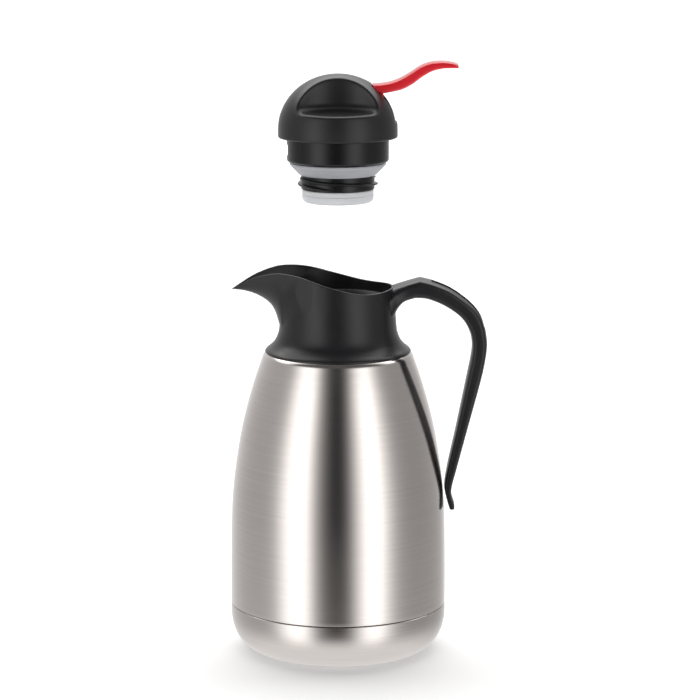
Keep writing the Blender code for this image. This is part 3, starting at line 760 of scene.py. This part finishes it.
def neck_ring():
    seat = 231.2
    outline = rounded(
        [
            (33.9, seat), (33.9, 226.6), (28.6, 226.6), (28.6, 206.0),
            (27.4, 206.0), (27.4, 228.9), (29.4, seat),
        ],
        0.5,
    )
    # The ring's material is a darker copy of the black plastic: painted shade for the recess inside the
    # mouth.
    finish_piece(turned("neck_seat_ring", outline), "neck_ring", "jug", PAINTED_SHADE_BLACK)


# ---------------------------------------------------------------- handle

# Outer edge, inner edge and half width at each station, in the XZ plane
HANDLE_ROOT = (
    (31.0, 237.1, 32.6, 209.5, 16.4),
    (34.6, 238.1, 35.6, 216.8, 14.4),
    (38.5, 239.3, 38.2, 223.3, 12.6),
    (45.0, 241.2, 42.4, 228.3, 11.4),
    (53.0, 243.4, 49.5, 230.8, 11.0),
)
HANDLE_BOW = (
    (53.0, 243.4, 49.5, 230.8, 11.0),
    (61.0, 241.3, 57.0, 230.3, 10.9),
    (71.8, 236.9, 66.0, 227.0, 10.7),
    (81.0, 230.8, 74.6, 221.9, 10.5),
    (88.5, 224.0, 80.6, 216.4, 10.4),
    (93.4, 216.0, 84.6, 209.3, 10.3),
    (96.1, 203.0, 86.3, 201.5, 10.2),
    (95.3, 191.0, 85.8, 193.0, 10.1),
    (91.9, 174.8, 82.6, 176.6, 10.0),
    (83.8, 144.2, 76.4, 145.6, 9.6),
    (77.5, 120.0, 71.0, 120.4, 9.2),
    (74.0, 106.5, 69.1, 107.4, 9.0),
    (73.9, 100.8, 69.9, 101.0, 9.0),
    (75.6, 95.2, 71.6, 94.6, 9.2),
    (75.7, 92.5, 72.4, 92.2, 9.2),
)
COVER_STRIP = (
    (60.6, 241.5),
    (71.8, 236.9),
    (81.0, 230.8),
    (88.5, 224.0),
    (93.4, 216.0),
    (95.0, 211.0),
)


def handle():
    """A loft of soft rectangles, with a crease where the flat root meets the bow."""
    stations = [*through(HANDLE_ROOT, 6)[:-1], *through(HANDLE_BOW, 8)]
    loops = []
    for x0, z0, x1, z1, half in stations:
        corner = 4.6 - 1.9 * min(max((46.0 - x0) / 12.0, 0.0), 1.0) * (z0 > 230.0)
        loops.append(soft_section((x0, z0), (x1, z1), half, corner, 64, crown=0.05))
    end = stations[-1]
    for drop, keep in ((0.35, 0.86), (0.5, 0.6)):
        middle = np.array([(end[0] + end[2]) / 2, 0.0, (end[1] + end[3]) / 2])
        loops.append(middle + (loops[-1] - middle) * keep - np.array([0.0, 0.0, drop * 0.4]))
    grip = lofted("handle_grip", loops, 50.0)
    wall = [(RIM_RADIUS + 0.03, 262.0), (RIM_RADIUS + 0.03, 238.0), (WAIST[0] + 0.03, WAIST[1])]
    wall += [(WAIST[0] + 0.4, 205.0), (0.0, 205.0), (0.0, 262.0)]
    combine(grip, turned("collar_clearance", wall), "DIFFERENCE")
    path = through(COVER_STRIP, 6)
    longer = [beyond(path[1], path[0], 0.5), *path[1:-1], beyond(path[-2], path[-1], 0.5)]
    groove = [*offset(longer, -3.0), *reversed(offset(longer, 2.8))]
    combine(grip, plate("cover_groove", groove, 6.55, 0.0), "DIFFERENCE")
    finish_piece(grip, "handle", "jug")
    strip = [*offset(path, 1.15), *reversed(offset(path, 2.45))]
    cover = plate("handle_strip", strip, 6.25, 0.35)
    cover.data.shade_smooth()
    cover.data.set_sharp_from_angle(angle=math.radians(40.0))
    finish_piece(cover, "handle_cover", "jug")


# ---------------------------------------------------------------- stopper

DOME_RADIUS = high("dome_cap")[0]
DOME_TOP = high("dome_cap")[2] - STOPPER_Z
BAND_TOP = 5.2
SCOOP_RADIUS = 39.1
RIDGE_HALF = 12.6


def dome_form(points, wall):
    """Below zero inside the knob. It is a domed drum with a filleted scoop on each side."""
    x, y, z = points[..., 0], points[..., 1], points[..., 2]
    radius = DOME_RADIUS - wall
    rise = DOME_TOP - BAND_TOP - wall
    up = np.maximum(z - BAND_TOP, 0.0)
    round_distance = np.sqrt((x / radius) ** 2 + (y / radius) ** 2 + (up / rise) ** 2)
    form = (round_distance - 1.0) * radius
    shelf = 19.0 - 2.4 * np.clip((np.abs(y) - 15.0) / 20.0, 0.0, 1.0) - wall
    for side in (-1.0, 1.0):
        centre = side * (RIDGE_HALF + SCOOP_RADIUS)
        to_cylinder = np.hypot(x, y - centre) - SCOOP_RADIUS - wall
        scoop = smooth_max(to_cylinder, shelf - z, 7.0)
        form = smooth_max(form, -scoop, 1.7)
    bottom = -z if wall == 0.0 else -z - 4.0
    return smooth_max(form, bottom, 1.4)


def star_surface(name, form, centre, rows, around):
    """The closed surface of a form, seen from a centre inside it, found by halving."""
    spans = [np.linspace(0.0, 98.0, rows), np.linspace(98.0, 116.0, 40)[1:]]
    tilt = np.concatenate([*spans, np.linspace(116.0, 180.0, 16)[1:]])
    tilt = np.radians(tilt)[1:-1]
    turn = np.linspace(0.0, 2.0 * math.pi, around, endpoint=False)
    grid_tilt, grid_turn = np.meshgrid(tilt, turn, indexing="ij")
    ways = np.stack(
        [
            np.sin(grid_tilt) * np.cos(grid_turn),
            np.sin(grid_tilt) * np.sin(grid_turn),
            np.cos(grid_tilt),
        ],
        axis=-1,
    )
    poles = np.array([[0.0, 0.0, 1.0], [0.0, 0.0, -1.0]])
    ways = np.concatenate([ways.reshape(-1, 3), poles])
    near = np.zeros(len(ways))
    far = np.full(len(ways), 70.0)
    for _ in range(26):
        middle = (near + far) / 2.0
        inside = form(centre + ways * middle[:, None]) < 0.0
        near = np.where(inside, middle, near)
        far = np.where(inside, far, middle)
    points = centre + ways * near[:, None]
    faces = []
    count = len(tilt)
    for row in range(count - 1):
        for k in range(around):
            after = (k + 1) % around
            a, b = row * around + k, row * around + after
            faces.append((a, b, b + around, a + around))
    top, bottom = len(points) - 2, len(points) - 1
    last = (count - 1) * around
    for k in range(around):
        after = (k + 1) % around
        faces.append((top, after, k))
        faces.append((bottom, last + k, last + after))
    return mesh_object(name, points + np.array([0.0, 0.0, STOPPER_Z]), faces, 60.0)


def dome():
    centre = np.array([0.0, 0.0, 11.0])
    knob = star_surface("dome_knob", lambda p: dome_form(p, 0.0), centre, 190, 400)
    hollow = star_surface("dome_hollow", lambda p: dome_form(p, 2.1), centre, 60, 120)
    for near, far in ((9.7, 12.3), (-12.3, -9.7)):
        ear = block("ear", (19.5, near, 19.5 + STOPPER_Z), (33.0, far, 33.0 + STOPPER_Z), 0.3)
        combine(hollow, ear, "DIFFERENCE")
    combine(knob, hollow, "DIFFERENCE")
    pivot_x, pivot_z = 25.5, 25.5 + STOPPER_Z
    combine(knob, rod("hole", 1.85, (pivot_x, -11.7, pivot_z), (pivot_x, 11.7, pivot_z)), "DIFFERENCE")
    slot = block("slot", (21.4, -9.4, 10.0 + STOPPER_Z), (50.0, 9.4, 50.0 + STOPPER_Z), 1.1)
    combine(knob, slot, "DIFFERENCE")
    finish_piece(knob, "dome_cap", "stopper")


LEVER_TOP = (
    (22.2, 34.2),
    (27.5, 34.5),
    (33.8, 35.6),
    (40.0, 38.0),
    (46.2, 41.6),
    (52.4, 45.6),
    (58.6, 47.9),
    (64.8, 48.6),
    (70.4, 48.3),
    (74.2, 47.5),
    (76.2, 46.7),
)
LEVER_UNDER = (
    (22.6, 31.2),
    (24.2, 29.3),
    (28.0, 28.5),
    (33.8, 29.3),
    (40.6, 30.9),
    (47.2, 34.2),
    (53.6, 38.9),
    (60.0, 42.5),
    (66.5, 44.1),
    (71.5, 44.4),
    (76.5, 44.4),
)
ARM_OUTER = ((28.8, 31.5), (29.2, 24.6), (27.4, 18.6), (23.0, 14.4), (17.0, 12.8), (-6.5, 12.6))
ARM_INNER = ((13.0, 15.6), (18.4, 16.8), (21.4, 19.8), (22.0, 24.0), (22.6, 31.0))


def lever():
    top = resampled(through(LEVER_TOP, 10), 90)
    under = resampled(through(LEVER_UNDER, 10), 90)
    loops = []
    for k, (outer, inner) in enumerate(zip(top, under)):
        share = k / (len(top) - 1)
        half = 8.5 - 0.7 * max(0.0, (share - 0.95) / 0.05) ** 2 - 0.5 * max(0.0, 1.0 - share / 0.05) ** 2
        loop = soft_section(outer, inner, half, 5.0, 56)
        loops.append(loop + np.array([0.0, 0.0, STOPPER_Z]))
    for ends in (True, False):
        edge = loops[0] if ends else loops[-1]
        middle = edge.mean(axis=0)
        way = (edge.mean(axis=0) - (loops[3] if ends else loops[-4]).mean(axis=0))
        way = way / np.linalg.norm(way)
        for out, keep in ((0.16, 0.93), (0.26, 0.8), (0.3, 0.5)):
            cap = middle + (edge - middle) * keep + way * out
            if ends:
                loops.insert(0, cap)
            else:
                loops.append(cap)
    blade = lofted("thumb_lever", loops, 50.0)
    arc = []
    for step in range(13):
        x = 13.0 * step / 12 - 6.5
        arc.append((x, 9.0 + math.sqrt(81.0 - x * x)))
    arm = [(x, z + STOPPER_Z) for x, z in [*ARM_OUTER, *arc, *ARM_INNER]]
    combine(blade, plate("arm", arm, 5.95, 0.5), "UNION", "EXACT")
    fork = block("fork", (-9.0, -3.1, 5.0 + STOPPER_Z), (5.4, 3.1, 20.0 + STOPPER_Z))
    combine(blade, fork, "DIFFERENCE", "EXACT")
    axle = rod("bore", 1.85, (25.5, -12.0, 25.5 + STOPPER_Z), (25.5, 12.0, 25.5 + STOPPER_Z))
    combine(blade, axle, "DIFFERENCE", "EXACT")
    finish_piece(blade, "lever", "lever")


def stopper_body():
    outer = high("stopper_body")[0]
    top = high("stopper_body")[2] - STOPPER_Z
    bottom = low("stopper_body")[2] - STOPPER_Z
    outline = [
        (outer, top),
        (outer, bottom + 1.2),
        (outer - 1.2, bottom),
        (20.0, bottom),
        (20.0, bottom + 2.2),
        (outer - 2.2, bottom + 2.2),
        (outer - 2.2, top),
    ]
    body = turned("stopper_drum", rounded(outline, 0.7), STOPPER_Z)
    window = block(
        "window", (-outer - 3.0, -7.0, STOPPER_Z - 12.0), (-20.0, 7.0, STOPPER_Z - 4.0), 1.6
    )
    combine(body, window, "DIFFERENCE")
    finish_piece(body, "stopper_body", "stopper")


PLUG_RADIUS = 23.5


def thread_ridge(start):
    """One start of the plug's coarse thread, with rounded flanks and run-out ends."""
    steps = 110
    core = PLUG_RADIUS - 0.6
    out = 25.7 - core
    section = [(0.0, 1.3), (0.45, 0.95), (0.8, 0.68), (0.95, 0.45), (1.0, 0.15)]
    section += [(share, -up) for share, up in reversed(section)]
    loops = []
    for step in range(steps + 1):
        share = step / steps
        turn = 2.0 * math.pi * (start + share * 0.72)
        fade = min(1.0, share * 9.0, (1.0 - share) * 9.0)
        fade = math.sin(fade * math.pi / 2)
        loop = []
        for reach, up in section:
            radius = core + out * reach * (0.25 + 0.75 * fade)
            height = STOPPER_Z - 25.5 - 8.0 * share * 0.72 + up * (0.5 + 0.5 * fade)
            loop.append((radius * math.cos(turn), radius * math.sin(turn), height))
        loops.append(np.array(loop))
    return lofted(f"thread_{start}", loops)


def threaded_plug():
    outline = [
        (PLUG_RADIUS, -15.8),
        (PLUG_RADIUS, -32.7),
        (19.5, -32.7),
        (19.5, -39.5),
        (16.6, -39.5),
        (16.6, -30.5),
        (20.2, -28.0),
        (20.2, -15.8),
    ]
    plug = turned("screw_plug", rounded(outline, 0.45), STOPPER_Z)
    for start in (0.0, 0.5):
        combine(plug, thread_ridge(start), "UNION")
    for side in (-1.0, 1.0):
        y0, y1 = sorted((side * (PLUG_RADIUS - 0.5), side * (PLUG_RADIUS + 0.16)))
        line = block("parting", (-0.28, y0, STOPPER_Z - 32.4), (0.28, y1, STOPPER_Z - 23.9), 0.1)
        combine(plug, line, "UNION")
    finish_piece(plug, "threaded_plug", "stopper")


def seals():
    cone = [(30.9, -15.8), (30.8, -17.1), (29.2, -18.9), (27.0, -21.1), (25.0, -23.2), (24.3, -23.7)]
    cone += [(23.85, -23.7), (23.85, -15.8)]
    piece = turned("cone_seal", rounded(cone, 0.45), STOPPER_Z)
    finish_piece(piece, "cone_gasket", "gasket")
    foot = [(22.9, -33.0), (22.95, -35.5), (22.6, -35.9), (23.1, -36.5)]
    foot += [(22.75, -38.9), (22.1, -40.3), (21.0, -41.2)]
    foot += [(12.0, -41.2), (12.0, -39.85), (19.85, -39.85), (19.85, -33.0)]
    piece = turned("foot_seal", rounded(foot, 0.6), STOPPER_Z)
    finish_piece(piece, "bottom_seal", "stopper")
    ring = rounded([(33.6, 226.2), (33.6, 224.8), (29.0, 224.8), (29.0, 226.2)], 0.3)
    finish_piece(turned("neck_gasket", ring), "collar_gasket", "jug")
    stem_ring = rounded([(5.0, 11.3), (5.0, 9.3), (2.75, 9.3), (2.75, 11.3)], 0.4)
    finish_piece(turned("stem_seal", stem_ring, STOPPER_Z, FINE_SIDES), "stem_gasket", "stopper")


def valve():
    stem = [(0.0, 18.1), (2.4, 18.1), (2.4, -35.2), (8.0, -35.2), (8.0, -36.7), (0.0, -36.7)]
    piece = turned("stem_rod", rounded(stem, 0.4, closed=False), STOPPER_Z, FINE_SIDES)
    finish_piece(piece, "valve_stem", "valve")
    plate_edge = [(0.0, -37.0), (14.0, -37.0), (14.0, -39.6), (9.0, -39.6), (8.4, -39.2), (0.0, -39.2)]
    piece = turned("valve_washer", rounded(plate_edge, 0.5, closed=False), STOPPER_Z, FINE_SIDES)
    finish_piece(piece, "valve_disc", "valve")
    knob = [(0.0, 26.0), (2.2, 26.0), (2.2, 21.7), (6.5, 21.7), (6.5, 18.4), (0.0, 18.4)]
    piece = turned("stem_knob", rounded(knob, 0.5, closed=False), STOPPER_Z, FINE_SIDES)
    finish_piece(piece, "stem_head", "valve")
    seat = [(0.0, 37.2), (6.6, 37.2), (6.6, 34.2), (5.7, 34.2), (5.7, 35.6), (0.0, 35.6)]
    piece = turned("spring_cup", rounded(seat, 0.3, closed=False), STOPPER_Z, FINE_SIDES)
    finish_piece(piece, "spring_seat", "stopper")


def valve_spring():
    """A coil between the knob on the stem and its cup."""
    coil, wire, turns, per_turn, around = 4.5, 0.5, 6, 36, 12
    foot, head = 22.6, 34.9
    loops = []
    for step in range(turns * per_turn + 1):
        share = step / (turns * per_turn)
        turn = 2.0 * math.pi * turns * share
        height = STOPPER_Z + foot + (head - foot) * share
        loop = []
        for k in range(around):
            side = 2.0 * math.pi * k / around
            radius = coil + wire * math.cos(side)
            loop.append((radius * math.cos(turn), radius * math.sin(turn), height + wire * math.sin(side)))
        loops.append(np.array(loop))
    piece = lofted("spring_coil", loops)
    finish_piece(piece, "valve_spring", "stopper")
    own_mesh(piece)


def carried_over():
    """CAD nodes that stay: each takes its slot's procedural material."""
    for name, node in frame["nodes"].items():
        if node.hide_render:
            continue
        node.data.materials.clear()
        node.data.materials.append(SLOT_MATERIALS[NODE_SLOTS[name]])
        node.data.shade_smooth()
        node.data.set_sharp_from_angle(angle=math.radians(35.0))


# ---------------------------------------------------------------- studio

# Brightness around the jug, from -180 to 180 degrees, where 0 faces the camera's side
STUDIO = (
    (-180, 0.95),
    (-155, 0.75),
    (-128, 0.52),
    (-105, 0.46),
    (-86, 0.46),
    (-72, 0.60),
    (-60, 1.35),
    (-47, 2.0),
    (-35, 1.75),
    (-25, 0.55),
    (-14, 0.10),
    (-2, 0.02),
    (9, 0.06),
    (19, 0.62),
    (30, 1.7),
    (44, 2.0),
    (55, 1.0),
    (68, 0.45),
    (83, 0.35),
    (100, 0.34),
    (122, 0.38),
    (146, 0.50),
    (165, 0.85),
    (180, 0.95),
)


def node_math(tree, operation, first, second=None):
    node = tree.nodes.new("ShaderNodeMath")
    node.operation = operation
    for k, value in enumerate((first, second)):
        if value is None:
            continue
        if isinstance(value, (int, float)):
            node.inputs[k].default_value = value
        else:
            tree.links.new(value, node.inputs[k])
    return node.outputs["Value"]


def studio():
    """A white room whose soft boxes stand around the jug as tall bands of light."""
    scene = bpy.context.scene
    scene.view_settings.view_transform = "Standard"
    world = bpy.data.worlds.new("studio")
    scene.world = world
    world.use_nodes = True
    tree = world.node_tree
    back = tree.nodes["Background"]
    place = tree.nodes.new("ShaderNodeTexCoord")
    parts = tree.nodes.new("ShaderNodeSeparateXYZ")
    tree.links.new(place.outputs["Generated"], parts.inputs["Vector"])
    x, y, z = (parts.outputs[axis] for axis in "XYZ")
    turn = node_math(tree, "ARCTAN2", x, node_math(tree, "MULTIPLY", y, -1.0))
    share = node_math(tree, "ADD", node_math(tree, "MULTIPLY", turn, 0.5 / math.pi), 0.5)
    ramp = tree.nodes.new("ShaderNodeValToRGB")
    tree.links.new(share, ramp.inputs["Fac"])
    ramp.color_ramp.interpolation = "B_SPLINE"
    elements = ramp.color_ramp.elements
    while len(elements) > 1:
        elements.remove(elements[-1])
    for k, (angle, value) in enumerate(STUDIO):
        spot = angle / 360.0 + 0.5
        element = elements[0] if k == 0 else elements.new(spot)
        element.position = spot
        element.color = (value / 2.0, value / 2.0, value / 2.0, 1.0)
    bands = node_math(tree, "MULTIPLY", ramp.outputs["Color"], 2.0)
    height = tree.nodes.new("ShaderNodeMapRange")
    height.interpolation_type = "SMOOTHSTEP"
    height.inputs["From Min"].default_value = -0.78
    height.inputs["From Max"].default_value = -0.18
    height.inputs["To Min"].default_value = 1.0
    height.inputs["To Max"].default_value = 0.0
    tree.links.new(z, height.inputs["Value"])
    above = tree.nodes.new("ShaderNodeMapRange")
    above.interpolation_type = "SMOOTHSTEP"
    above.inputs["From Min"].default_value = 0.42
    above.inputs["From Max"].default_value = 0.64
    tree.links.new(z, above.inputs["Value"])
    behind = tree.nodes.new("ShaderNodeMapRange")
    behind.interpolation_type = "SMOOTHSTEP"
    behind.inputs["From Min"].default_value = -0.15
    behind.inputs["From Max"].default_value = 0.45
    behind.inputs["To Min"].default_value = 0.10
    behind.inputs["To Max"].default_value = 3.4
    tree.links.new(y, behind.inputs["Value"])
    floor_mix = tree.nodes.new("ShaderNodeMix")
    floor_mix.inputs["B"].default_value = 0.95
    tree.links.new(height.outputs["Result"], floor_mix.inputs["Factor"])
    tree.links.new(bands, floor_mix.inputs["A"])
    top_mix = tree.nodes.new("ShaderNodeMix")
    tree.links.new(behind.outputs["Result"], top_mix.inputs["B"])
    tree.links.new(above.outputs["Result"], top_mix.inputs["Factor"])
    tree.links.new(floor_mix.outputs["Result"], top_mix.inputs["A"])
    path = tree.nodes.new("ShaderNodeLightPath")
    seen = tree.nodes.new("ShaderNodeMix")
    seen.inputs["B"].default_value = 1.0
    tree.links.new(path.outputs["Is Camera Ray"], seen.inputs["Factor"])
    tree.links.new(top_mix.outputs["Result"], seen.inputs["A"])
    tree.links.new(seen.outputs["Result"], back.inputs["Strength"])
    back.inputs["Color"].default_value = (1.0, 0.995, 0.99, 1.0)


def pale_floor():
    mesh = bpy.data.meshes.new("floor")
    build = bmesh.new()
    bmesh.ops.create_grid(build, x_segments=1, y_segments=1, size=30.0)
    build.to_mesh(mesh)
    build.free()
    floor = bpy.data.objects.new("floor", mesh)
    bpy.context.scene.collection.objects.link(floor)
    floor.location.z = -0.0002
    floor.visible_glossy = False
    paint = base_material("pale_floor", (0.86, 0.86, 0.86), 0.8)
    shader = paint.node_tree.nodes["Principled BSDF"]
    socket(shader, "Emission Color", (1.0, 1.0, 1.0, 1.0))
    socket(shader, "Emission Strength", 0.22)
    cloud = noise(paint, 3.0)
    vary_colour(paint, cloud, (0.85, 0.85, 0.85), (0.88, 0.88, 0.88))
    mesh.materials.append(paint)


def camera():
    """It looks down a little from the front, as the jug is seen on a table."""
    aim = Vector((0.00775, 0.0, 0.1961))
    pitch = math.radians(10.4)
    distance = 1.938
    view = bpy.data.cameras.new("camera")
    view.lens = 154.3
    view.sensor_width = 36.0
    eye = bpy.data.objects.new("camera", view)
    bpy.context.scene.collection.objects.link(eye)
    eye.location = aim + Vector((0.0, -math.cos(pitch), math.sin(pitch))) * distance
    eye.rotation_euler = (math.radians(90.0) - pitch, 0.0, 0.0)
    bpy.context.scene.camera = eye


outer_shell()
base_cup()
inner_liner()
port_cover()
collar()
neck_ring()
handle()
dome()
lever()
stopper_body()
threaded_plug()
seals()
valve()
valve_spring()
carried_over()
studio()
pale_floor()
camera()
